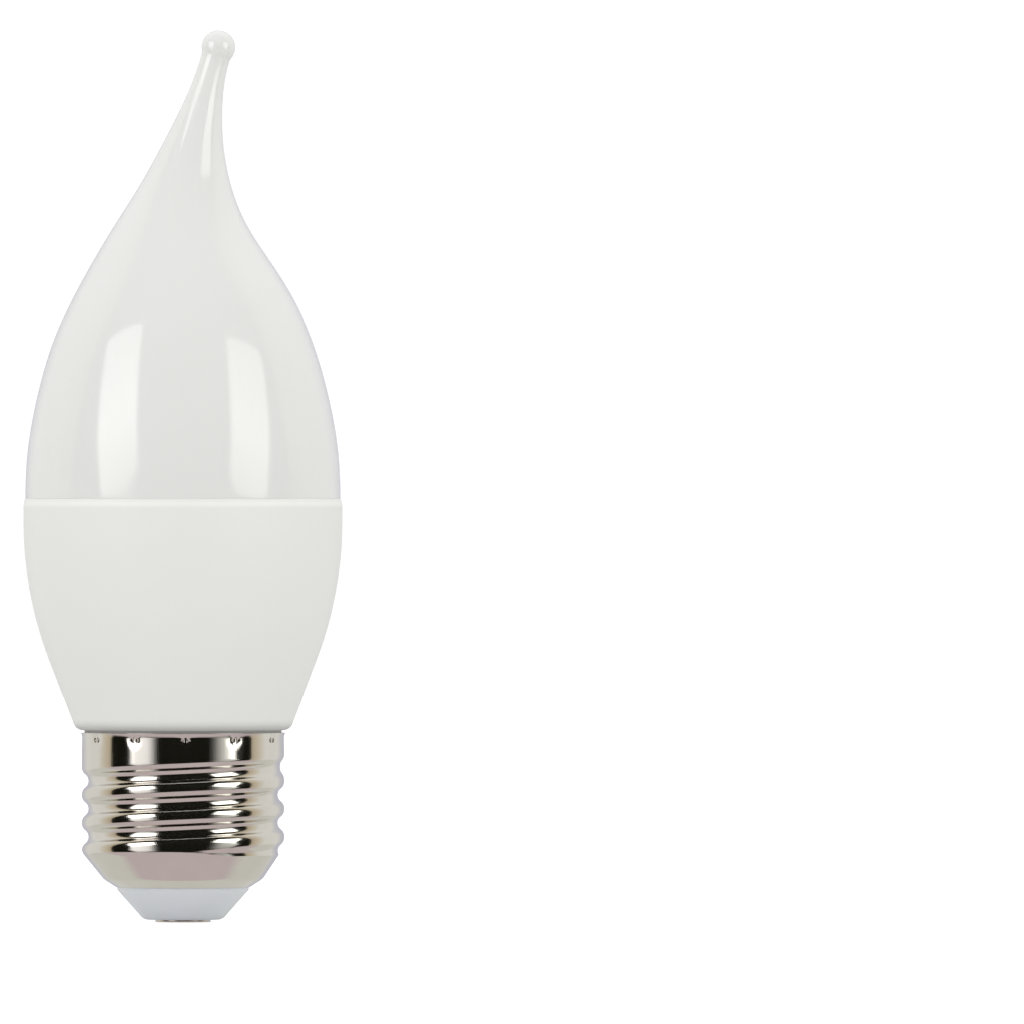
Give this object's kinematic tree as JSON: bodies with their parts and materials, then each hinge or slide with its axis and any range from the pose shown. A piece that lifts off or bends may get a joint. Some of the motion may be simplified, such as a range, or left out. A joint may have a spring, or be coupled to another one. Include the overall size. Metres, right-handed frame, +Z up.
{
  "type": "candle bulb",
  "caption": "Flame-tip candle lamp: a glossy white diffuser with a bent tip, a tapering plastic housing and a medium screw base with a centre contact.",
  "frame": {"origin": "on the lamp's axis, at the lowest point of the centre contact", "axes": "+Z runs up the axis from the screw base to the tip, +X is the way the tip bends, -Y is the side that faces the camera"},
  "size_m": [0.0414, 0.0414, 0.1158],
  "materials": {
    "diffuser_plastic": "glossy milk-white diffuser",
    "housing_plastic": "fine matte white moulding",
    "nickel_plate": "bright nickel plate on rolled sheet",
    "insulator_plastic": "satin pale grey moulding",
    "contact_metal": "nickel-plated brass"
  },
  "bodies": {
    "root": {"diffuser": "diffuser_plastic", "housing": "housing_plastic", "screw_shell": "nickel_plate", "base_insulator": "insulator_plastic", "centre_contact": "contact_metal"}
  },
  "joints": []
}
